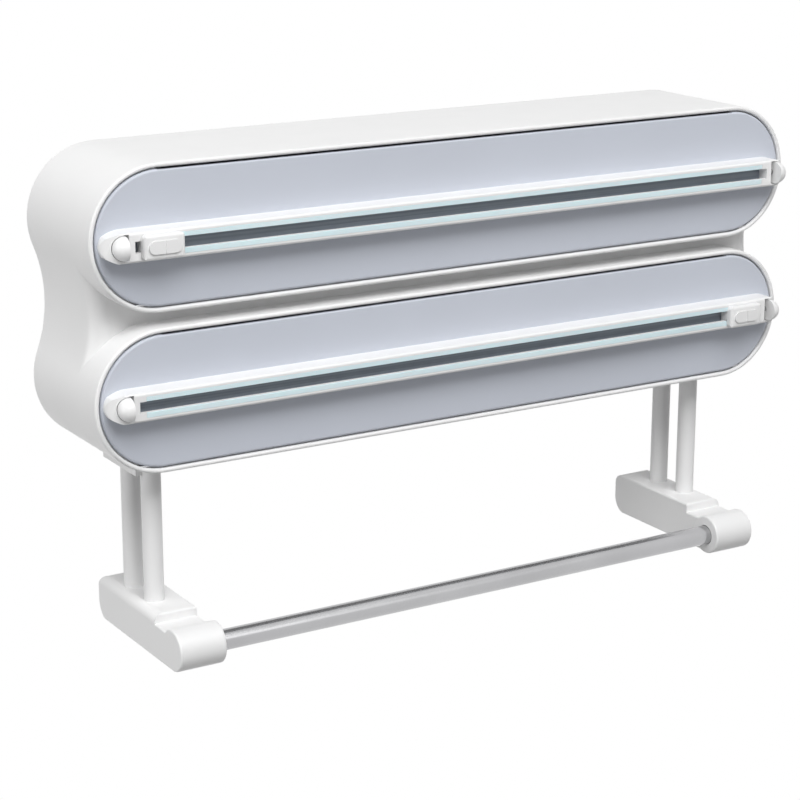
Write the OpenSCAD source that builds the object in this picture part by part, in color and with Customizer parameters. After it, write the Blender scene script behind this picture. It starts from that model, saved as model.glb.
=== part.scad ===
// Wall-hung kitchen wrap dispenser: two roll bays with hinged covers and
// slide cutters, and a paper towel bar on posts below.
// Millimetres. The wall is the plane y = 0, the front faces -Y, Z is up.
// The origin is the middle of the four wall screws.

/* [Housing] */
// Width of the housing over the round ends
body_w = 390; // [340:1:460]
// Outer radius of the round ends, half the height of one tier
tier_r = 33.75; // [30:0.25:40]
// Height between the middles of the two tiers
tier_pitch = 74.6; // [72:0.2:90]
// Depth of the tiers from the wall
body_depth = 70; // [62:0.5:85]
// Thickness of the housing walls
wall = 2.2; // [1.8:0.1:3]
// Depth of the web between the tiers
web_depth = 55; // [44:0.5:60]
// How far the waist is drawn in at each side
waist_in = 7; // [5.5:0.5:9]
// Thickness of the back panel
back_t = 3; // [2.6:0.2:4]

/* [Wall screws] */
// Spacing of the wall screw holes across
mount_span = 260; // [180:5:290]
// Radius of the wall screw holes
mount_hole_r = 2.6; // [2:0.1:3.2]

/* [Covers] */
// Thickness of a cover
cover_t = 2.6; // [2.4:0.1:3]
// Depth of the cover face behind the ring front
cover_recess = 0.2; // [0:0.1:0.4]
// Gap between the cover and the ring at the ends
cover_gap = 0.7; // [0.65:0.05:1.2]
// Height of the film slot above a cover
film_slot = 1.1; // [1:0.1:2]
// Radius of the hinge pins
pin_r = 0.6; // [0.4:0.1:0.7]

/* [Cutter rails] */
// Height of a rail where it meets the cover
rail_h = 14.4; // [13.6:0.2:16]
// How far a rail stands out from the cover
rail_depth = 9.4; // [9:0.2:12]
// How far the middle of a rail lies below the middle of its tier
rail_drop = 1; // [0:0.2:2]
// How much higher the lower rail sits in its tier
low_rail_up = 2.2; // [0:0.1:3]
// Height of the cutting groove
groove_h = 5.2; // [4:0.1:5.6]
// How far the groove lies above the middle of the rail
groove_up = 0.2; // [0:0.1:1]
// Height of the upper grip strip
strip_top_h = 2.2; // [1.6:0.1:2.6]
// Height of the lower grip strip
strip_low_h = 2.4; // [1.6:0.1:2.8]

/* [Slide cutters] */
// Length of a slide cutter
slider_len = 20; // [18:0.2:26]
// Thickness of the slide cutter in front of the rail
slider_t = 3.6; // [3:0.1:5]
// Distance of a parked slide cutter from the end of its groove
park_gap = 2.5; // [1:0.1:6]

/* [Buttons] */
// Radius of the button domes
dome_r = 5.5; // [4.8:0.1:5.6]
// Travel of a button
press = 1.6; // [1:0.1:2.2]

/* [Towel holder] */
// Radius of the posts
post_r = 4.8; // [4:0.1:5.4]
// Distance of the rear posts from the wall
post_rear = 23.5; // [18:0.5:26]
// Spacing of the two posts on a side
post_gap = 22.5; // [16:0.5:26]
// Height of the collar plates that the posts pass through
plate_t = 7.4; // [3:0.2:9]
// Distance from the housing down to the bracket decks
drop = 69.5; // [50:0.5:120]
// Height of a bracket block
deck_h = 21.5; // [20:0.5:28]
// Width of a bracket block
bracket_w = 22; // [18:0.5:26]
// Distance of the towel bar from the wall
bar_out = 83; // [78:0.5:110]
// Radius of the bracket hubs
hub_r = 10; // [9:0.2:10.6]
// Radius of the towel bar
bar_r = 5; // [4.6:0.1:6]
// Travel of the sprung towel bar
bar_travel = 8.5; // [6:0.5:9]

/* [Hidden] */
$fn = 64;
// Clearances
run = 0.35;
slip = 0.05;
seat = 0.02;
// Housing
half_run = body_w / 2 - tier_r;
in_r = tier_r - wall;
half_pitch = tier_pitch / 2;
waist_x = body_w / 2 - waist_in;
waist_e = waist_x - half_run;
notch_r = (pow(waist_e, 2) + pow(half_pitch, 2) - pow(tier_r, 2)) / (2 * (tier_r - waist_e));
notch_x = waist_x + notch_r;
web_half = half_pitch - tier_r;
rim = wall / 2;
base_z = -half_pitch - tier_r;
boss_x = [-100, 0, 100];
boss_half = 4;
screw_r = 1.25;
screw_head_r = 2.6;
screw_head_h = 1.6;
back_screw_len = 12;
// Covers
face_y = -(body_depth - cover_recess);
cover_r = in_r - cover_gap;
cover_back_y = face_y + cover_t;
edge_r = cover_t / 2;
hinge_y = face_y + edge_r;
hinge_z = -(cover_r - edge_r);
pin_in = half_run + 2;
pin_out = half_run + sqrt(pow(tier_r, 2) - pow(hinge_z, 2)) - wall;
ledge_w = 1.6;
ledge_t = 1.4;
ledge_y = cover_back_y + 0.3;
web_edge_r = 7;
// Rails
rail_inset = 4;
rail_half = body_w / 2 - rail_inset;
rail_y = face_y - rail_depth;
rail_front_half = rail_h / 2 - 0.5;
rail_edge_r = 1.2;
nose_r = rail_depth - 0.4;
nose_len = 11;
nose_over = 3.5;
bow_r = (pow(nose_len + nose_over, 2) + pow(rail_h / 2, 2)) / rail_h;
bow_x = rail_half - nose_len;
pocket_wall = 2.8;
lip_t = 2.4;
tee_half = groove_h / 2 + 1.6;
tee_depth = 4.2;
track_t = 0.8;
strip_t = 0.8;
strip_end = 3.2;
rail_screw_x = [-150, -50, 50, 150];
rail_screw_len = 2.2;
// Buttons
dome_inset = 8.5;
dome_x = rail_half - dome_inset;
dome_y = rail_y - 0.3;
dome_z = 0.3 - rail_drop;
flat_x = dome_x - 0.5;
pocket_x = flat_x - press - 0.3;
pocket_r = dome_r + 0.3;
groove_half = pocket_x - pocket_wall;
strip_half = groove_half - strip_end;
arm_w = 3;
arm_half = 1.8;
bolt_y = cover_back_y + 1.6;
bolt_t = 3.9;
bolt_half = 2.2;
bolt_tip = half_run + in_r - ledge_w - 0.6;
spring_seat_r = 1.6;
spring_seat_d = 3.2;
spring_y = rail_y + 2.5;
spring_wire = 0.22;
spring_r = 1.25;
// Slide cutters
slider_half_h = rail_front_half - 0.9;
slider_y = rail_y - 0.3;
slider_turn = 2.4;
slider_edge = 1.6;
slider_park = groove_half - slider_len / 2 - park_gap;
foot_half = slider_len / 2 - 0.9;
foot_t = tee_depth - track_t - 2 * run;
grip_r = 2.9;
grip_half = 4.9;
grip_sink = 1.2;
grip_rise = 0.8;
blade_t = 0.4;
// Towel holder
post_inset = 3.25;
post_x = half_run - post_inset;
post_front = post_rear + post_gap;
plate_in = 12.8;
plate_out = 8;
plate_ahead = 1;
plate_behind = 13;
deck_z = base_z - drop;
post_sink = 12;
post_screw_r = 2;
post_screw_head_r = 3.2;
post_screw_head_h = 2.2;
post_screw_len = 8;
block_side = 9;
block_ahead = 14;
block_out = post_x + block_side;
block_in = block_out - bracket_w;
block_front = post_front + post_r + block_ahead;
block_back = 2;
heel_r = 9;
toe_r = 5;
deck_r = 4.5;
hub_in = block_in - 1.5;
hub_out = block_out;
hub_edge_r = 1;
hub_z = deck_z - deck_h + hub_r;
neck_z = deck_z - 4.5;
socket_d = 8;
bar_bore_r = bar_r - 0.8;
nose_pin_r = bar_r - 1.5;
bar_left = -(hub_in + socket_d - 0.3);
bar_right = hub_in + 0.5;
big_d = bar_travel + 1;
small_d = 8;
bush_len = 6;
head_len = 3;
bar_spring_len = 30;
bar_spring_wire = 0.5;

white = [0.93, 0.93, 0.94];
gray = [0.72, 0.73, 0.78];
cyan = [0.66, 0.86, 0.92];
steel = [0.75, 0.76, 0.78];
slate = [0.25, 0.27, 0.31];

// A front view outline (x, z) pushed forward from depth d0 over a depth d
module forward(d0, d) {
  translate([0, -d0, 0]) rotate([90, 0, 0]) linear_extrude(d) children();
}

// A side view outline (y, z) drawn out from x0 to x1
module across(x0, x1) {
  translate([x0, 0, 0]) rotate([90, 0, 90]) linear_extrude(x1 - x0) children();
}

module rod_x(x0, x1, r) {
  translate([x0, 0, 0]) rotate([0, 90, 0]) cylinder(h = x1 - x0, r = r);
}

module rod_y(y0, y1, r) {
  translate([0, y1, 0]) rotate([90, 0, 0]) cylinder(h = y1 - y0, r = r);
}

module box(p, q) {
  translate(p) cube(q - p);
}

module stadium(half, r) {
  square([2 * half, 2 * r], center = true);
  for (s = [-1, 1]) translate([s * half, 0]) circle(r);
}

// A round bead of radius r along a stadium of radius big
module bead(half, big, r) {
  for (s = [-1, 1]) {
    translate([0, 0, s * big]) rod_x(-half, half, r);
    translate([s * half, 0, 0]) rotate([90, 0, 0]) rotate([0, 0, -90 * s])
      rotate_extrude(angle = 180) translate([big, 0]) circle(r);
  }
}

// A rectangle with its own radius at each corner: low left, low right, top right, top left
module plate_2d(p, q, r) {
  difference() {
    translate(p) square(q - p);
    for (i = [0 : 3]) {
      sx = (i == 0 || i == 3) ? 1 : -1;
      sy = i < 2 ? 1 : -1;
      cx = sx > 0 ? p[0] : q[0];
      cy = sy > 0 ? p[1] : q[1];
      if (r[i] > 0) difference() {
        translate([cx, cy]) square(2 * r[i], center = true);
        translate([cx + sx * r[i], cy + sy * r[i]]) circle(r[i]);
      }
    }
  }
}

// An open coil along +X from x = 0, as one tube
module coil(len, r, wire, turns) {
  sides = 6;
  rings = 8;
  count = turns * rings;
  rise = len - 2 * wire;
  points = [for (i = [0 : count]) for (j = [0 : sides - 1])
    let (a = i * 360 / rings, b = j * 360 / sides, rr = r + wire * cos(b))
    [wire + rise * i / count + wire * sin(b), rr * cos(a), rr * sin(a)]];
  skin_faces = [for (i = [0 : count - 1]) for (j = [0 : sides - 1]) for (h = [0, 1])
    let (k = (j + 1) % sides, a = i * sides + j, b = i * sides + k,
      c = (i + 1) * sides + j, d = (i + 1) * sides + k)
    h == 0 ? [a, b, c] : [b, d, c]];
  first = [for (j = [1 : sides - 2]) [0, j + 1, j]];
  last = [for (j = [1 : sides - 2]) [count * sides, count * sides + j, count * sides + j + 1]];
  polyhedron(points = points, faces = concat(skin_faces, first, last));
}

// Front outline of the web between the tiers, grown inward by t at its waist
module web_2d(t) {
  difference() {
    polygon([[half_run, half_pitch], [notch_x, 0], [half_run, -half_pitch],
      [-half_run, -half_pitch], [-notch_x, 0], [-half_run, half_pitch]]);
    for (s = [-1, 1]) translate([s * notch_x, 0]) circle(notch_r + t);
  }
}

module both_tiers() {
  for (s = [-1, 1]) translate([0, 0, s * half_pitch]) children();
}

// The ledge inside a ring that its cover closes against, open along the film slot
module cover_ledge() {
  difference() {
    forward(-ledge_y - ledge_t, ledge_t) stadium(half_run, in_r + wall / 2);
    forward(-ledge_y - ledge_t - 1, ledge_t + 2) stadium(half_run, in_r - ledge_w);
    box([-half_run, ledge_y - 1, in_r - 2 * ledge_w], [half_run, ledge_y + ledge_t + 1, in_r]);
  }
}

// Rounds the front edge of the web along the waist
module waist_round() {
  for (s = [-1, 1]) translate([s * notch_x, 0, 0]) rotate([90, 0, 0]) rotate_extrude() difference() {
    translate([notch_r - 1, web_depth - web_edge_r]) square([web_edge_r + 1, web_edge_r + 1]);
    translate([notch_r + web_edge_r, web_depth - web_edge_r]) circle(web_edge_r);
  }
}

// The two pin holes or pins of one cover
module pin_pair(x0, x1, r) {
  for (s = [-1, 1]) translate([0, hinge_y, hinge_z])
    rod_x(s > 0 ? x0 : -x1, s > 0 ? x1 : -x0, r);
}

module housing() {
  color(white) difference() {
    union() {
      difference() {
        union() {
          both_tiers() forward(0, body_depth - wall / 2) stadium(half_run, tier_r);
          difference() {
            forward(0, web_depth) web_2d(0);
            waist_round();
          }
        }
        both_tiers() forward(-1, body_depth + 2) stadium(half_run, in_r);
        forward(back_t, web_depth - web_edge_r - back_t) difference() {
          web_2d(wall);
          for (s = [-1, 1]) translate([0, s * half_pitch]) stadium(half_run, tier_r);
        }
      }
      both_tiers() translate([0, -(body_depth - wall / 2), 0])
        bead(half_run, tier_r - wall / 2, wall / 2);
      both_tiers() cover_ledge();
      for (x = boss_x) box([x - boss_half, -(web_depth - wall / 2), -web_half - wall / 2],
        [x + boss_half, -back_t, web_half + wall / 2]);
    }
    forward(-1, back_t + 1) {
      for (s = [-1, 1]) translate([0, s * half_pitch]) stadium(half_run, tier_r - rim);
      web_2d(rim);
    }
    for (x = boss_x) translate([x, 0, 0]) rod_y(-back_t - back_screw_len - 1, 0, screw_r + seat);
    for (sx = [-1, 1]) for (y = [post_rear, post_front])
      translate([sx * post_x, -y, base_z - 1]) cylinder(h = wall + 2, r = post_screw_r + slip);
    both_tiers() pin_pair(pin_in, pin_out + 0.2, pin_r + slip);
  }
}

module back_panel() {
  fit = rim + 0.15;
  color(white) difference() {
    forward(0, back_t) {
      for (s = [-1, 1]) translate([0, s * half_pitch]) stadium(half_run, tier_r - fit);
      web_2d(fit);
    }
    for (x = boss_x) translate([x, 0, 0]) {
      rod_y(-back_t - 1, 1, screw_r + slip);
      rod_y(-screw_head_h, 1, screw_head_r + slip);
    }
    for (sx = [-1, 1]) both_tiers() translate([sx * mount_span / 2, 0, 0])
      rod_y(-back_t - 1, 1, mount_hole_r);
  }
}

module back_screws() {
  color(steel) for (x = boss_x) translate([x, 0, 0]) {
    rod_y(-screw_head_h, 0, screw_head_r);
    rod_y(-back_t - back_screw_len, -screw_head_h, screw_r);
  }
}

// One tier's cover, drawn about the middle of the tier, with its rail raised by rise
module cover_shape(rise) {
  difference() {
    union() {
      forward(-face_y - cover_t, cover_t) stadium(half_run, cover_r - edge_r);
      translate([0, hinge_y, 0]) bead(half_run, cover_r - edge_r, edge_r);
    }
    box([-half_run, face_y - 1, in_r - film_slot], [half_run, cover_back_y + 1, in_r]);
    pin_pair(pin_in, pin_out, pin_r + seat);
    translate([0, 0, rise]) {
      for (s = [0, 1]) mirror([s, 0, 0]) arm_slot();
      for (x = rail_screw_x) translate([x, 0, -rail_drop])
        rod_y(face_y - 1, cover_back_y + 1, screw_r + slip);
    }
  }
}

// The slot that a button's arm moves in
module arm_slot() {
  box([flat_x - press - run, face_y - rail_depth / 2, -rail_drop - arm_half - run],
    [flat_x + arm_w + run, cover_back_y + 1, -rail_drop + arm_half + run]);
}

module rail_profile() {
  y = rail_y + rail_edge_r;
  difference() {
    polygon([[face_y, rail_h / 2], [face_y, -rail_h / 2], [y, -rail_front_half],
      [rail_y, -rail_front_half], [rail_y, rail_front_half], [y, rail_front_half]]);
    for (s = [-1, 1]) difference() {
      translate([rail_y, s * rail_front_half]) square(2 * rail_edge_r, center = true);
      translate([y, s * (rail_front_half - rail_edge_r)]) circle(rail_edge_r);
    }
  }
}

// Front outline of a rail: a bar whose ends are bows of two arcs with a round tip
module rail_front() {
  intersection() {
    stadium(rail_half - rail_h / 2, rail_h / 2);
    union() {
      square([2 * bow_x, rail_h], center = true);
      for (s = [-1, 1]) intersection() {
        translate([s * bow_x, bow_r - rail_h / 2]) circle(bow_r);
        translate([s * bow_x, rail_h / 2 - bow_r]) circle(bow_r);
      }
    }
  }
}

module rail_shape() {
  difference() {
    intersection() {
      translate([0, 0, -rail_drop]) across(-rail_half, rail_half) rail_profile();
      translate([0, 0, -rail_drop]) forward(-face_y, rail_depth) rail_front();
      translate([0, 0, -rail_drop - rail_h]) linear_extrude(2 * rail_h)
        plate_2d([-rail_half, rail_y], [rail_half, face_y], [nose_r, nose_r, 0, 0]);
    }
    translate([0, 0, groove_up - rail_drop]) {
      box([-groove_half, rail_y - 1, -groove_h / 2], [groove_half, rail_y + lip_t + 1, groove_h / 2]);
      box([-groove_half, rail_y + lip_t, -tee_half],
        [groove_half, rail_y + lip_t + tee_depth, tee_half]);
      box([-strip_half, rail_y - 1, groove_h / 2],
        [strip_half, rail_y + strip_t, groove_h / 2 + strip_top_h]);
      box([-strip_half, rail_y - 1, -groove_h / 2 - strip_low_h],
        [strip_half, rail_y + strip_t, -groove_h / 2]);
    }
    for (s = [0, 1]) mirror([s, 0, 0]) {
      translate([dome_x, dome_y, dome_z]) intersection() {
        sphere(pocket_r);
        box([0, -2 * dome_r, -2 * dome_r], [2 * dome_r, 2 * dome_r, 2 * dome_r]);
      }
      box([pocket_x, rail_y - 1, dome_z - pocket_r - 0.1],
        [dome_x + 0.3, dome_y + pocket_r + 0.1, dome_z + pocket_r + 0.1]);
      arm_slot();
    }
    for (x = rail_screw_x) translate([x, 0, -rail_drop])
      rod_y(face_y - rail_screw_len, face_y + 1, screw_r + seat);
  }
}

module strip_shape(low, high) {
  translate([0, 0, groove_up - rail_drop])
    box([-strip_half + slip, rail_y, low + slip], [strip_half - slip, rail_y + strip_t, high - slip]);
}

module strip_top_shape() {
  strip_shape(groove_h / 2, groove_h / 2 + strip_top_h);
}

module strip_low_shape() {
  strip_shape(-groove_h / 2 - strip_low_h, -groove_h / 2);
}

module track_shape() {
  back = rail_y + lip_t + tee_depth;
  translate([0, 0, groove_up - rail_drop])
    box([-groove_half + slip, back - track_t, -tee_half + slip],
      [groove_half - slip, back, tee_half - slip]);
}

module pins_shape() {
  pin_pair(pin_in, pin_out, pin_r);
}

module rail_screws_shape() {
  for (x = rail_screw_x) translate([x, 0, -rail_drop]) {
    rod_y(cover_back_y, cover_back_y + screw_head_h, screw_head_r);
    rod_y(face_y - rail_screw_len, cover_back_y, screw_r);
  }
}

module slider_shape() {
  z = groove_up - rail_drop;
  half_len = slider_len / 2;
  difference() {
    union() {
      intersection() {
        translate([0, 0, -rail_drop]) forward(-slider_y, slider_t)
          plate_2d([-half_len, -slider_half_h], [half_len, slider_half_h], slider_turn * [1, 1, 1, 1]);
        translate([0, 0, -rail_drop - rail_h]) linear_extrude(2 * rail_h)
          plate_2d([-half_len, slider_y - slider_t], [half_len, slider_y], slider_edge * [1, 1, 0, 0]);
        translate([0, 0, -rail_drop]) across(-slider_len, slider_len)
          plate_2d([slider_y - slider_t, -slider_half_h], [slider_y, slider_half_h],
            slider_edge * [1, 0, 0, 1]);
      }
      box([-foot_half, slider_y - 0.5, z - groove_h / 2 + run],
        [foot_half, rail_y + lip_t + run + 0.5, z + groove_h / 2 - run]);
      box([-foot_half, rail_y + lip_t + run, z - tee_half + run],
        [foot_half, rail_y + lip_t + run + foot_t, z + tee_half - run]);
    }
    translate([0, 0, -rail_drop]) forward(-slider_y + slider_t - grip_sink, grip_sink + 1)
      stadium(grip_half, grip_r + slip);
    blade_cut(slip);
  }
}

module grip_shape() {
  translate([0, 0, -rail_drop]) difference() {
    forward(-slider_y + slider_t - grip_sink, grip_sink + grip_rise) stadium(grip_half, grip_r);
    box([-0.3, slider_y - slider_t - grip_rise - 1, -grip_r],
      [0.3, slider_y - slider_t - grip_rise / 2, grip_r]);
  }
}

module blade_cut(t) {
  back = rail_y + lip_t + tee_depth - track_t - run;
  translate([0, 0, groove_up - rail_drop - blade_t / 2 - t]) linear_extrude(blade_t + 2 * t)
    polygon([[-foot_half + 1 - t, slider_y - 1 - t], [foot_half - 1 + t, slider_y - 1 - t],
      [foot_half - 4 + t, back + 5 * t], [-foot_half + 4 - t, back + 5 * t]]);
}

// The right button; the left one is its mirror image
module button_shape() {
  difference() {
    union() {
      translate([dome_x, dome_y, dome_z]) intersection() {
        sphere(dome_r);
        box([0, -2 * dome_r, -2 * dome_r], [2 * dome_r, 2 * dome_r, 2 * dome_r]);
      }
      translate([0, dome_y, dome_z]) rod_x(flat_x, dome_x, dome_r);
      box([flat_x, dome_y + dome_r - 1.2, -rail_drop - arm_half],
        [flat_x + arm_w, bolt_y + bolt_t, -rail_drop + arm_half]);
      box([flat_x, bolt_y, -rail_drop - bolt_half], [bolt_tip, bolt_y + bolt_t, -rail_drop + bolt_half]);
    }
    translate([0, spring_y, dome_z]) rod_x(flat_x - 1, flat_x + spring_seat_d, spring_seat_r);
  }
}

module spring_shape() {
  translate([pocket_x, spring_y, dome_z])
    coil(flat_x + spring_seat_d - pocket_x, spring_r, spring_wire, 5);
}

module up() {
  translate([0, 0, half_pitch]) children();
}

module down() {
  translate([0, 0, -half_pitch]) children();
}

// Everything that the lower rail carries
module on_low_rail() {
  translate([0, 0, low_rail_up - half_pitch]) children();
}

module left() {
  mirror([1, 0, 0]) children();
}

module upper_cover() { color(gray) up() cover_shape(0); }
module upper_rail() { color(white) up() rail_shape(); }
module upper_strip_top() { color(cyan) up() strip_top_shape(); }
module upper_strip_low() { color(cyan) up() strip_low_shape(); }
module upper_track() { color(slate) up() track_shape(); }
module upper_hinge_pins() { color(steel) up() pins_shape(); }
module upper_rail_screws() { color(steel) up() rail_screws_shape(); }
module upper_slider() { color(white) up() translate([-slider_park, 0, 0]) slider_shape(); }
module upper_slider_grip() { color(white) up() translate([-slider_park, 0, 0]) grip_shape(); }
module upper_blade() { color(steel) up() translate([-slider_park, 0, 0]) blade_cut(0); }
module upper_left_button() { color(white) up() left() button_shape(); }
module upper_right_button() { color(white) up() button_shape(); }
module upper_left_spring() { color(steel) up() left() spring_shape(); }
module upper_right_spring() { color(steel) up() spring_shape(); }

module lower_cover() { color(gray) down() cover_shape(low_rail_up); }
module lower_rail() { color(white) on_low_rail() rail_shape(); }
module lower_strip_top() { color(cyan) on_low_rail() strip_top_shape(); }
module lower_strip_low() { color(cyan) on_low_rail() strip_low_shape(); }
module lower_track() { color(slate) on_low_rail() track_shape(); }
module lower_hinge_pins() { color(steel) down() pins_shape(); }
module lower_rail_screws() { color(steel) on_low_rail() rail_screws_shape(); }
module lower_slider() { color(white) on_low_rail() translate([slider_park, 0, 0]) slider_shape(); }
module lower_slider_grip() { color(white) on_low_rail() translate([slider_park, 0, 0]) grip_shape(); }
module lower_blade() { color(steel) on_low_rail() translate([slider_park, 0, 0]) blade_cut(0); }
module lower_left_button() { color(white) on_low_rail() left() button_shape(); }
module lower_right_button() { color(white) on_low_rail() button_shape(); }
module lower_left_spring() { color(steel) on_low_rail() left() spring_shape(); }
module lower_right_spring() { color(steel) on_low_rail() spring_shape(); }

module post_plate_shape() {
  difference() {
    box([post_x - plate_in, -post_front - plate_ahead, base_z - plate_t],
      [post_x + plate_out, -post_rear + plate_behind, base_z]);
    for (y = [post_rear, post_front]) translate([post_x, -y, base_z - plate_t - 1])
      cylinder(h = plate_t + 2, r = post_r + seat);
  }
}

module left_post_plate() { color(slate) left() post_plate_shape(); }
module right_post_plate() { color(slate) post_plate_shape(); }

module post_shape(y) {
  foot = deck_z - post_sink;
  translate([post_x, -y, 0]) difference() {
    translate([0, 0, foot]) cylinder(h = base_z - foot, r = post_r);
    translate([0, 0, base_z - post_screw_len - 1])
      cylinder(h = post_screw_len + 2, r = post_screw_r + seat);
  }
}

module left_rear_post() { color(white) left() post_shape(post_rear); }
module left_front_post() { color(white) left() post_shape(post_front); }
module right_rear_post() { color(white) post_shape(post_rear); }
module right_front_post() { color(white) post_shape(post_front); }

module post_screws() {
  seat_z = -half_pitch - in_r;
  color(steel) for (sx = [-1, 1]) for (y = [post_rear, post_front])
    translate([sx * post_x, -y, 0]) {
      translate([0, 0, seat_z]) cylinder(h = post_screw_head_h, r = post_screw_head_r);
      translate([0, 0, base_z - post_screw_len])
        cylinder(h = post_screw_len + wall, r = post_screw_r);
    }
}

// The right bracket without its bar socket
module bracket_shape() {
  low = deck_z - deck_h;
  difference() {
    union() {
      intersection() {
        across(block_in, block_out)
          plate_2d([-block_front, low], [-block_back, deck_z], [1, heel_r, toe_r, 1.2]);
        forward(0, block_front + 1) plate_2d([block_in, low], [block_out, deck_z], [1, 1, deck_r, 1.2]);
      }
      intersection() {
        across(block_in, block_out) plate_2d([-bar_out, low], [-block_front + 3, neck_z], [0, 0, 0, 0]);
        forward(0, bar_out + 1) plate_2d([block_in, low], [block_out, neck_z], [1, 1, hub_edge_r, 1]);
      }
      translate([hub_in, -bar_out, hub_z]) rotate([0, 90, 0]) rotate_extrude()
        plate_2d([0, 0], [hub_r, hub_out - hub_in], [0, 1, hub_edge_r, 0]);
    }
    for (y = [post_rear, post_front]) translate([post_x, -y, deck_z - post_sink])
      cylinder(h = post_sink + 1, r = post_r + seat);
  }
}

module left_bracket() {
  color(white) difference() {
    left() bracket_shape();
    translate([0, -bar_out, hub_z]) rod_x(-hub_in - socket_d, -hub_in + 1, bar_r + slip);
  }
}

module right_bracket() {
  color(white) difference() {
    bracket_shape();
    translate([0, -bar_out, hub_z]) {
      rod_x(hub_in - 1, hub_in + big_d, bar_r + 0.2);
      rod_x(hub_in, hub_in + big_d + small_d, nose_pin_r + slip);
    }
  }
}

module on_bar() {
  translate([0, -bar_out, hub_z]) children();
}

module bar_tube() {
  color(steel) on_bar() difference() {
    rod_x(bar_left, bar_right, bar_r);
    rod_x(bar_left - 1, bar_right + 1, bar_bore_r);
  }
}

module bar_cap() {
  color(white) on_bar() rod_x(bar_left, bar_left + bush_len, bar_bore_r - seat);
}

module bar_bush() {
  color(white) on_bar() difference() {
    rod_x(bar_right - bush_len, bar_right, bar_bore_r - seat);
    rod_x(bar_right - bush_len - 1, bar_right + 1, nose_pin_r + slip);
  }
}

module bar_stop() {
  x = bar_right - bush_len - 0.3 - head_len - bar_spring_len;
  color(white) on_bar() rod_x(x - 4, x, bar_bore_r - seat);
}

module bar_spring() {
  x = bar_right - bush_len - 0.3 - head_len - bar_spring_len;
  color(steel) on_bar() translate([x, 0, 0])
    coil(bar_spring_len, bar_bore_r - 0.3 - bar_spring_wire, bar_spring_wire, 10);
}

module bar_plunger() {
  x = bar_right - bush_len - 0.3;
  color(white) on_bar() {
    rod_x(x - head_len, x, bar_bore_r - slip);
    rod_x(x - 0.5, hub_in + big_d + small_d - 0.3, nose_pin_r);
  }
}

housing();
back_panel();
back_screws();
upper_cover();
upper_rail();
upper_strip_top();
upper_strip_low();
upper_track();
upper_hinge_pins();
upper_rail_screws();
upper_slider();
upper_slider_grip();
upper_blade();
upper_left_button();
upper_right_button();
upper_left_spring();
upper_right_spring();
lower_cover();
lower_rail();
lower_strip_top();
lower_strip_low();
lower_track();
lower_hinge_pins();
lower_rail_screws();
lower_slider();
lower_slider_grip();
lower_blade();
lower_left_button();
lower_right_button();
lower_left_spring();
lower_right_spring();
left_post_plate();
right_post_plate();
left_rear_post();
left_front_post();
right_rear_post();
right_front_post();
post_screws();
left_bracket();
right_bracket();
bar_tube();
bar_cap();
bar_bush();
bar_stop();
bar_spring();
bar_plunger();
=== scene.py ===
"""Looks of a wall-hung kitchen wrap dispenser with slide cutters and a towel bar."""

import math

import bmesh
import bpy
from mathutils import Matrix, Vector


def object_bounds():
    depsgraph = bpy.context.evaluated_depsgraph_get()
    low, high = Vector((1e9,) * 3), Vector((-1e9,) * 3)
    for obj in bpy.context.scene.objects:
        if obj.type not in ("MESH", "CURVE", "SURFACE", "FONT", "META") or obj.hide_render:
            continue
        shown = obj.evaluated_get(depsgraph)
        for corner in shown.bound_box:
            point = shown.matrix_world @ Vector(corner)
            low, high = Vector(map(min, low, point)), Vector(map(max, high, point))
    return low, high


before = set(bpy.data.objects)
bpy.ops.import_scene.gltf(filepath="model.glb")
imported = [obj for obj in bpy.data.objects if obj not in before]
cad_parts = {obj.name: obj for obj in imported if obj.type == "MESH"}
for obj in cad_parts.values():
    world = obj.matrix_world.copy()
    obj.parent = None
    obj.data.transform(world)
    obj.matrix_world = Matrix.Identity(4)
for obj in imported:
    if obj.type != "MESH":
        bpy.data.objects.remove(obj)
CAD_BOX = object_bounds()

bl_info = {
    "name": "Wrap Dispenser",
    "version": (1, 0, 0),
    "blender": (4, 5, 0),
    "location": "3D View > Sidebar > Dispenser",
    "description": "Dresses a wall-hung kitchen wrap dispenser and sets its studio",
    "category": "Object",
}

TIERS = ("upper", "lower")
SIDES = ("left", "right")

# Edge rounding, in metres
STRIP_EDGE = 0.00015
GRIP_EDGE = 0.0003
PLATE_EDGE = 0.0003
SCREW_EDGE = 0.0002
EDGE_STEPS = 3
SHARP_ANGLE = math.radians(40)
WELD_GAP = 0.000002

# The part of a noise's range that the finishes use
NOISE_LOW = 0.3
NOISE_HIGH = 0.7

# Studio, in metres
FLOOR_DROP = 0.25
FLOOR_REACH = 3
PAPER_TONE = 0.33
LAMP_AIM = (0, -0.04, -0.05)
KEY_PLACE, KEY_SIZE = (-0.30, -1.18, 1.46), (1.8, 1.1)
FRONT_PLACE, FRONT_SIZE = (0.31, -1.78, 0.92), (1.2, 0.8)
SIDE_PLACE, SIDE_SIZE = (-1.70, 0.06, 0.30), (1.2, 1.2)
SENSOR_WIDTH = 36  # mm
CLIP_START = 0.01


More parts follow.
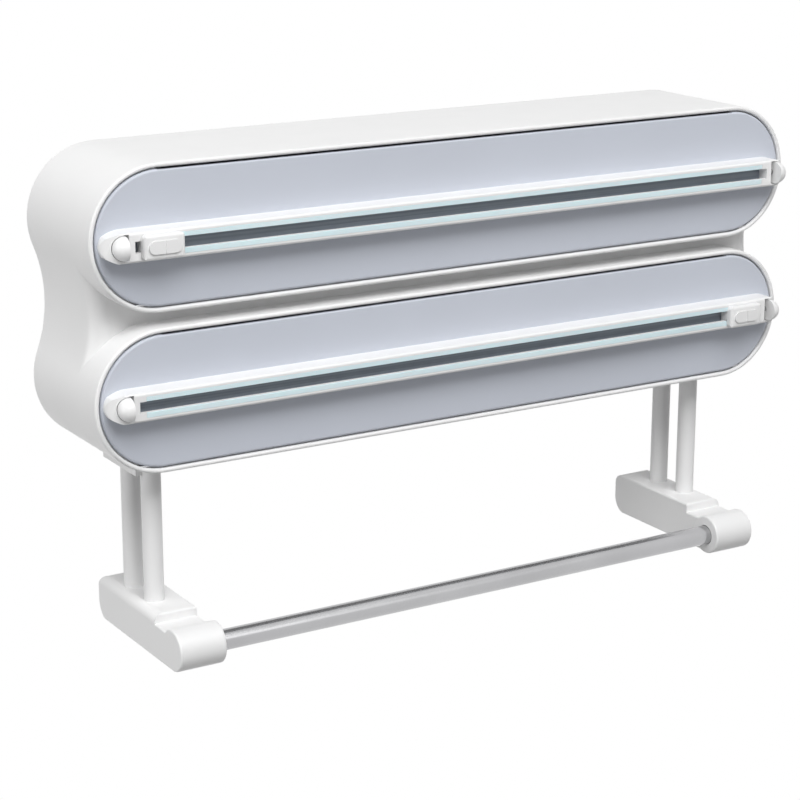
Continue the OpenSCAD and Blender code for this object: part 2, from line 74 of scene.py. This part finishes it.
class DispenserFinish(bpy.types.PropertyGroup):
    """Colours and surface sizes of the dispenser's materials"""

    white: bpy.props.FloatVectorProperty(
        name="White", description="Moulded white of the body, rails and brackets",
        subtype="COLOR", size=3, min=0, max=1, default=(0.86, 0.86, 0.86))
    gray: bpy.props.FloatVectorProperty(
        name="Cover gray", description="Etched gray of the two covers",
        subtype="COLOR", size=3, min=0, max=1, default=(0.575, 0.605, 0.675))
    cyan: bpy.props.FloatVectorProperty(
        name="Strip cyan", description="Soft grip strips along the groove",
        subtype="COLOR", size=3, min=0, max=1, default=(0.74, 0.89, 0.935))
    # Dark colour of the groove's track, which also paints the shade deep inside the groove
    slate: bpy.props.FloatVectorProperty(
        name="Track slate", description="Dark track inside the groove",
        subtype="COLOR", size=3, min=0, max=1, default=(0.26, 0.295, 0.34))
    steel: bpy.props.FloatVectorProperty(
        name="Steel", description="Bright stainless of the towel bar",
        subtype="COLOR", size=3, min=0, max=1, default=(0.47, 0.47, 0.48))
    etch: bpy.props.FloatProperty(
        name="Etch", description="Size of one grain of the etched cover texture",
        subtype="DISTANCE", unit="LENGTH", default=0.0006)


class DispenserStudio(bpy.types.PropertyGroup):
    """Camera and light of the studio"""

    azimuth: bpy.props.FloatProperty(
        name="Azimuth", description="Camera turn about the vertical, from straight ahead",
        subtype="ANGLE", default=math.radians(-31.408))
    elevation: bpy.props.FloatProperty(
        name="Elevation", description="Camera height above the horizon",
        subtype="ANGLE", default=math.radians(15.931))
    roll: bpy.props.FloatProperty(
        name="Roll", description="Camera roll about its view",
        subtype="ANGLE", default=math.radians(0.124))
    place: bpy.props.FloatVectorProperty(
        name="Camera place", description="Where the camera stands",
        subtype="XYZ", unit="LENGTH", size=3, default=(-0.57568, -0.95202, 0.24007))
    lens: bpy.props.FloatProperty(
        name="Lens", description="Focal length on a 36 mm sensor",
        unit="CAMERA", default=100.91)
    key: bpy.props.FloatProperty(
        name="Key light", description="Power of the large lamp high above the front",
        unit="POWER", default=36.0)
    front: bpy.props.FloatProperty(
        name="Front light", description="Power of the lamp behind the camera",
        unit="POWER", default=2.5)
    side: bpy.props.FloatProperty(
        name="Side light", description="Power of the lamp at the left",
        unit="POWER", default=9.5)
    sky: bpy.props.FloatProperty(
        name="Sky", description="Strength of the even light from all round", default=0.16)


def finish():
    """The colours and surface sizes in use"""
    return bpy.context.scene.dispenser_finish


def studio():
    """The camera and light settings in use"""
    return bpy.context.scene.dispenser_studio


# Materials


def new_material(name):
    """An empty node material with its surface shader and a mapped object position"""
    material = bpy.data.materials.new(name)
    material.use_nodes = True
    tree = material.node_tree
    shader = tree.nodes["Principled BSDF"]
    place = tree.nodes.new("ShaderNodeTexCoord").outputs["Object"]
    return material, tree, shader, place


def noise(tree, place, scale, detail=4.0, roughness=0.55, stretch=(1, 1, 1)):
    """A noise of so many grains a metre, drawn out by stretch"""
    mapping = tree.nodes.new("ShaderNodeMapping")
    mapping.inputs["Scale"].default_value = stretch
    node = tree.nodes.new("ShaderNodeTexNoise")
    node.inputs["Scale"].default_value = scale
    node.inputs["Detail"].default_value = detail
    node.inputs["Roughness"].default_value = roughness
    tree.links.new(place, mapping.inputs["Vector"])
    tree.links.new(mapping.outputs["Vector"], node.inputs["Vector"])
    return node.outputs["Fac"]


def ramp(tree, value, stops):
    """A colour ramp on a value; stops are (place, colour)"""
    node = tree.nodes.new("ShaderNodeValToRGB")
    elements = node.color_ramp.elements
    while len(elements) < len(stops):
        elements.new(0.5)
    for element, (place, colour) in zip(elements, stops):
        element.position = place
        element.color = (*colour, 1)
    tree.links.new(value, node.inputs["Fac"])
    return node.outputs["Color"]


def spread(tree, value, low, high):
    """The used range of a noise spread over low to high"""
    node = tree.nodes.new("ShaderNodeMapRange")
    node.inputs["From Min"].default_value = NOISE_LOW
    node.inputs["From Max"].default_value = NOISE_HIGH
    node.inputs["To Min"].default_value = low
    node.inputs["To Max"].default_value = high
    tree.links.new(value, node.inputs["Value"])
    return node.outputs["Result"]


def bump(tree, shader, height, depth, strength):
    """Raises the surface by a height value"""
    node = tree.nodes.new("ShaderNodeBump")
    node.inputs["Distance"].default_value = depth
    node.inputs["Strength"].default_value = strength
    tree.links.new(height, node.inputs["Height"])
    tree.links.new(node.outputs["Normal"], shader.inputs["Normal"])


def shades(colour, spread_by):
    """A darker and a lighter shade of a colour"""
    return [tuple(min(1, c * (1 + s * spread_by)) for c in colour) for s in (-1, 1)]


def tint(tree, shader, value, colour, by):
    """Colours the surface from a darker to a lighter shade of a colour"""
    dark, light = shades(colour, by)
    stops = [(NOISE_LOW, dark), (NOISE_HIGH, light)]
    tree.links.new(ramp(tree, value, stops), shader.inputs["Base Color"])


def moulded_white():
    """Satin white moulding with faint flow marks and a fine orange peel"""
    material, tree, shader, place = new_material("moulded_white")
    flow = noise(tree, place, 14, 3, stretch=(0.35, 1, 1))
    tint(tree, shader, flow, finish().white, 0.012)
    haze = noise(tree, place, 55, 4)
    tree.links.new(spread(tree, haze, 0.30, 0.40), shader.inputs["Roughness"])
    bump(tree, shader, noise(tree, place, 900, 2), 0.00008, 0.12)
    shader.inputs["IOR"].default_value = 1.49
    shader.inputs["Subsurface Weight"].default_value = 0.05
    shader.inputs["Subsurface Radius"].default_value = (0.002, 0.002, 0.002)
    return material


def etched_gray():
    """Matt gray moulding with an even spark-etched grain"""
    material, tree, shader, place = new_material("etched_gray")
    grain = noise(tree, place, 1 / finish().etch, 3, 0.6)
    cloud = noise(tree, place, 9, 2)
    tint(tree, shader, cloud, finish().gray, 0.025)
    tree.links.new(spread(tree, grain, 0.42, 0.56), shader.inputs["Roughness"])
    bump(tree, shader, grain, 0.00012, 0.25)
    shader.inputs["IOR"].default_value = 1.5
    return material


def grip_cyan():
    """Soft translucent strip with fine cross ribs"""
    material, tree, shader, place = new_material("grip_cyan")
    tone = noise(tree, place, 60, 3, stretch=(0.2, 1, 1))
    tint(tree, shader, tone, finish().cyan, 0.04)
    ribs = tree.nodes.new("ShaderNodeTexWave")
    ribs.bands_direction = "X"
    ribs.inputs["Scale"].default_value = 260
    tree.links.new(place, ribs.inputs["Vector"])
    bump(tree, shader, ribs.outputs["Fac"], 0.0001, 0.2)
    tree.links.new(spread(tree, tone, 0.40, 0.52), shader.inputs["Roughness"])
    shader.inputs["Subsurface Weight"].default_value = 0.25
    shader.inputs["Subsurface Radius"].default_value = (0.001, 0.002, 0.002)
    return material


def slate_track():
    """Dark slippery track with fine lengthwise draw lines; its dark colour also paints the
    shade deep inside the groove
    """
    material, tree, shader, place = new_material("slate_track")
    lines = noise(tree, place, 120, 3, stretch=(0.02, 1, 8))
    tint(tree, shader, lines, finish().slate, 0.2)
    tree.links.new(spread(tree, lines, 0.38, 0.55), shader.inputs["Roughness"])
    bump(tree, shader, lines, 0.00005, 0.2)
    return material


def drawn_steel(name, colour, rough, stretch):
    """Bright steel with fine draw lines along one direction"""
    material, tree, shader, place = new_material(name)
    lines = noise(tree, place, 600, 4, 0.6, stretch)
    cloud = noise(tree, place, 25, 3)
    tint(tree, shader, cloud, colour, 0.06)
    tree.links.new(spread(tree, lines, rough * 0.8, rough * 1.3), shader.inputs["Roughness"])
    bump(tree, shader, lines, 0.00003, 0.15)
    shader.inputs["Metallic"].default_value = 1
    return material


MATERIALS = {}


def material(name):
    """One of the dispenser's materials, made when first asked for"""
    steel = finish().steel
    blade = tuple(1.1 * c for c in steel)
    zinc = tuple(0.9 * c for c in steel)
    makers = {
        "white": moulded_white,
        "gray": etched_gray,
        "cyan": grip_cyan,
        # The track's dark finish also paints the shade deep inside the groove
        "slate": slate_track,
        "bar": lambda: drawn_steel("bar_steel", steel, 0.2, (0.02, 1, 1)),
        "blade": lambda: drawn_steel("blade_steel", blade, 0.25, (1, 0.05, 1)),
        "zinc": lambda: drawn_steel("zinc_steel", zinc, 0.35, (1, 1, 1)),
    }
    if name not in MATERIALS:
        MATERIALS[name] = makers[name]()
    return MATERIALS[name]


# Meshes


def dress(node, look, edge=None):
    """Gives a node of the frame its material and rounds its edges"""
    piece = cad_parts[node]
    piece.data.materials.clear()
    piece.data.materials.append(material(look))
    if edge:
        weld = piece.modifiers.new("Weld", "WELD")
        weld.merge_threshold = WELD_GAP
        round_over = piece.modifiers.new("Edges", "BEVEL")
        round_over.width = edge
        round_over.segments = EDGE_STEPS
        round_over.limit_method = "ANGLE"
        round_over.angle_limit = SHARP_ANGLE
        round_over.use_clamp_overlap = True
        round_over.harden_normals = False
    return piece


# Operators


class DISPENSER_OT_housing(bpy.types.Operator):
    """White housing and its back panel"""

    bl_idname = "dispenser.housing"
    bl_label = "Housing"

    def execute(self, context):
        dress("housing", "white")
        dress("back_panel", "white")
        return {"FINISHED"}


class DISPENSER_OT_covers(bpy.types.Operator):
    """Two etched gray covers"""

    bl_idname = "dispenser.covers"
    bl_label = "Covers"

    def execute(self, context):
        for tier in TIERS:
            dress(f"{tier}_cover", "gray")
        return {"FINISHED"}


class DISPENSER_OT_cutter_rails(bpy.types.Operator):
    """White cutter rails with their grip strips and the dark track in the groove, whose dark
    colour also paints the groove's shade
    """

    bl_idname = "dispenser.cutter_rails"
    bl_label = "Cutter rails"

    def execute(self, context):
        for tier in TIERS:
            dress(f"{tier}_rail", "white")
            for strip in ("top", "low"):
                dress(f"{tier}_strip_{strip}", "cyan", STRIP_EDGE)
            # The track's dark colour also paints the shade deep inside the groove
            dress(f"{tier}_track", "slate")
        return {"FINISHED"}


class DISPENSER_OT_slide_cutters(bpy.types.Operator):
    """Slide cutters with their grips and blades"""

    bl_idname = "dispenser.slide_cutters"
    bl_label = "Slide cutters"

    def execute(self, context):
        for tier in TIERS:
            dress(f"{tier}_slider", "white")
            dress(f"{tier}_slider_grip", "white", GRIP_EDGE)
            dress(f"{tier}_blade", "blade")
        return {"FINISHED"}


class DISPENSER_OT_buttons(bpy.types.Operator):
    """Domed release buttons and their springs"""

    bl_idname = "dispenser.buttons"
    bl_label = "Buttons"

    def execute(self, context):
        for tier in TIERS:
            for side in SIDES:
                dress(f"{tier}_{side}_button", "white")
                dress(f"{tier}_{side}_spring", "zinc")
        return {"FINISHED"}


class DISPENSER_OT_towel_holder(bpy.types.Operator):
    """Posts, collar plates and brackets of the towel holder"""

    bl_idname = "dispenser.towel_holder"
    bl_label = "Towel holder"

    def execute(self, context):
        for side in SIDES:
            dress(f"{side}_post_plate", "white", PLATE_EDGE)
            dress(f"{side}_bracket", "white")
            for place in ("rear", "front"):
                dress(f"{side}_{place}_post", "white")
        return {"FINISHED"}


class DISPENSER_OT_towel_bar(bpy.types.Operator):
    """Bright steel towel bar with its sprung end"""

    bl_idname = "dispenser.towel_bar"
    bl_label = "Towel bar"

    def execute(self, context):
        dress("bar_tube", "bar")
        dress("bar_spring", "zinc")
        for node in ("bar_cap", "bar_bush", "bar_stop", "bar_plunger"):
            dress(node, "white")
        return {"FINISHED"}


class DISPENSER_OT_fasteners(bpy.types.Operator):
    """Screws and hinge pins"""

    bl_idname = "dispenser.fasteners"
    bl_label = "Fasteners"

    def execute(self, context):
        dress("back_screws", "zinc", SCREW_EDGE)
        dress("post_screws", "zinc", SCREW_EDGE)
        for tier in TIERS:
            dress(f"{tier}_hinge_pins", "zinc")
            dress(f"{tier}_rail_screws", "zinc", SCREW_EDGE)
        return {"FINISHED"}


class DISPENSER_OT_stage(bpy.types.Operator):
    """Pale floor, white surroundings, soft lamps and the camera"""

    bl_idname = "dispenser.stage"
    bl_label = "Studio"

    def execute(self, context):
        context.scene.view_settings.view_transform = "Standard"
        self.world(context)
        self.floor(context)
        self.lamp(context, "key_lamp", KEY_PLACE, KEY_SIZE, studio().key)
        self.lamp(context, "front_lamp", FRONT_PLACE, FRONT_SIZE, studio().front)
        self.lamp(context, "side_lamp", SIDE_PLACE, SIDE_SIZE, studio().side)
        self.camera(context)
        return {"FINISHED"}

    def white_for_camera(self, tree, lit, shader_type):
        """White to the camera and in reflections, and lit otherwise"""
        path = tree.nodes.new("ShaderNodeLightPath")
        seen = path.outputs["Is Camera Ray"]
        for ray in ("Is Glossy Ray", "Is Transmission Ray"):
            either = tree.nodes.new("ShaderNodeMath")
            either.operation = "MAXIMUM"
            tree.links.new(seen, either.inputs[0])
            tree.links.new(path.outputs[ray], either.inputs[1])
            seen = either.outputs[0]
        white = tree.nodes.new(shader_type)
        white.inputs["Color"].default_value = (1, 1, 1, 1)
        mix = tree.nodes.new("ShaderNodeMixShader")
        tree.links.new(seen, mix.inputs["Fac"])
        tree.links.new(lit, mix.inputs[1])
        tree.links.new(white.outputs[0], mix.inputs[2])
        return mix.outputs[0]

    def world(self, context):
        world = bpy.data.worlds.new("studio_sky")
        world.use_nodes = True
        tree = world.node_tree
        sky = tree.nodes["Background"]
        sky.inputs["Color"].default_value = (1, 1, 1, 1)
        sky.inputs["Strength"].default_value = studio().sky
        surface = self.white_for_camera(tree, sky.outputs[0], "ShaderNodeBackground")
        tree.links.new(surface, tree.nodes["World Output"].inputs["Surface"])
        context.scene.world = world

    def floor(self, context):
        mesh = bpy.data.meshes.new("studio_floor")
        shape = bmesh.new()
        bmesh.ops.create_grid(shape, x_segments=1, y_segments=1, size=FLOOR_REACH)
        shape.to_mesh(mesh)
        shape.free()
        floor = bpy.data.objects.new("studio_floor", mesh)
        floor.location.z = CAD_BOX[0][2] - FLOOR_DROP
        context.scene.collection.objects.link(floor)
        paint = bpy.data.materials.new("studio_paper")
        paint.use_nodes = True
        tree = paint.node_tree
        shader = tree.nodes["Principled BSDF"]
        shader.inputs["Base Color"].default_value = (PAPER_TONE,) * 3 + (1,)
        shader.inputs["Roughness"].default_value = 0.9
        surface = self.white_for_camera(tree, shader.outputs[0], "ShaderNodeEmission")
        tree.links.new(surface, tree.nodes["Material Output"].inputs["Surface"])
        mesh.materials.append(paint)

    def lamp(self, context, name, place, size, power):
        data = bpy.data.lights.new(name, "AREA")
        data.shape = "RECTANGLE"
        data.size, data.size_y = size
        data.energy = power
        lamp = bpy.data.objects.new(name, data)
        lamp.location = place
        aim = Vector(LAMP_AIM) - Vector(place)
        lamp.rotation_euler = aim.to_track_quat("-Z", "Y").to_euler()
        context.scene.collection.objects.link(lamp)

    def camera(self, context):
        look = studio()
        a, e = look.azimuth, look.elevation
        back = Vector((math.sin(a) * math.cos(e), -math.cos(a) * math.cos(e), math.sin(e)))
        right = Vector((0, 0, 1)).cross(back).normalized()
        up = back.cross(right)
        turn = Matrix((right, up, back)).transposed().to_4x4()
        data = bpy.data.cameras.new("camera")
        data.lens = look.lens
        data.sensor_width = SENSOR_WIDTH
        data.clip_start = CLIP_START
        camera = bpy.data.objects.new("camera", data)
        rolled = turn @ Matrix.Rotation(look.roll, 4, "Z")
        camera.matrix_world = Matrix.Translation(look.place) @ rolled
        context.scene.collection.objects.link(camera)
        context.scene.camera = camera


OPERATORS = (
    DISPENSER_OT_housing,
    DISPENSER_OT_covers,
    DISPENSER_OT_cutter_rails,
    DISPENSER_OT_slide_cutters,
    DISPENSER_OT_buttons,
    DISPENSER_OT_towel_holder,
    DISPENSER_OT_towel_bar,
    DISPENSER_OT_fasteners,
    DISPENSER_OT_stage,
)


class DISPENSER_PT_panel(bpy.types.Panel):
    """Lists the dispenser's pieces"""

    bl_label = "Wrap dispenser"
    bl_idname = "DISPENSER_PT_panel"
    bl_space_type = "VIEW_3D"
    bl_region_type = "UI"
    bl_category = "Dispenser"

    def draw(self, context):
        for operator in OPERATORS:
            self.layout.operator(operator.bl_idname)


CLASSES = (DispenserFinish, DispenserStudio, *OPERATORS, DISPENSER_PT_panel)


def register():
    for item in CLASSES:
        bpy.utils.register_class(item)
    bpy.types.Scene.dispenser_finish = bpy.props.PointerProperty(type=DispenserFinish)
    bpy.types.Scene.dispenser_studio = bpy.props.PointerProperty(type=DispenserStudio)


def unregister():
    del bpy.types.Scene.dispenser_studio
    del bpy.types.Scene.dispenser_finish
    for item in reversed(CLASSES):
        bpy.utils.unregister_class(item)


def main():
    register()
    bpy.ops.dispenser.housing()
    bpy.ops.dispenser.covers()
    bpy.ops.dispenser.cutter_rails()
    bpy.ops.dispenser.slide_cutters()
    bpy.ops.dispenser.buttons()
    bpy.ops.dispenser.towel_holder()
    bpy.ops.dispenser.towel_bar()
    bpy.ops.dispenser.fasteners()
    bpy.ops.dispenser.stage()


if __name__ == "__main__":
    main()
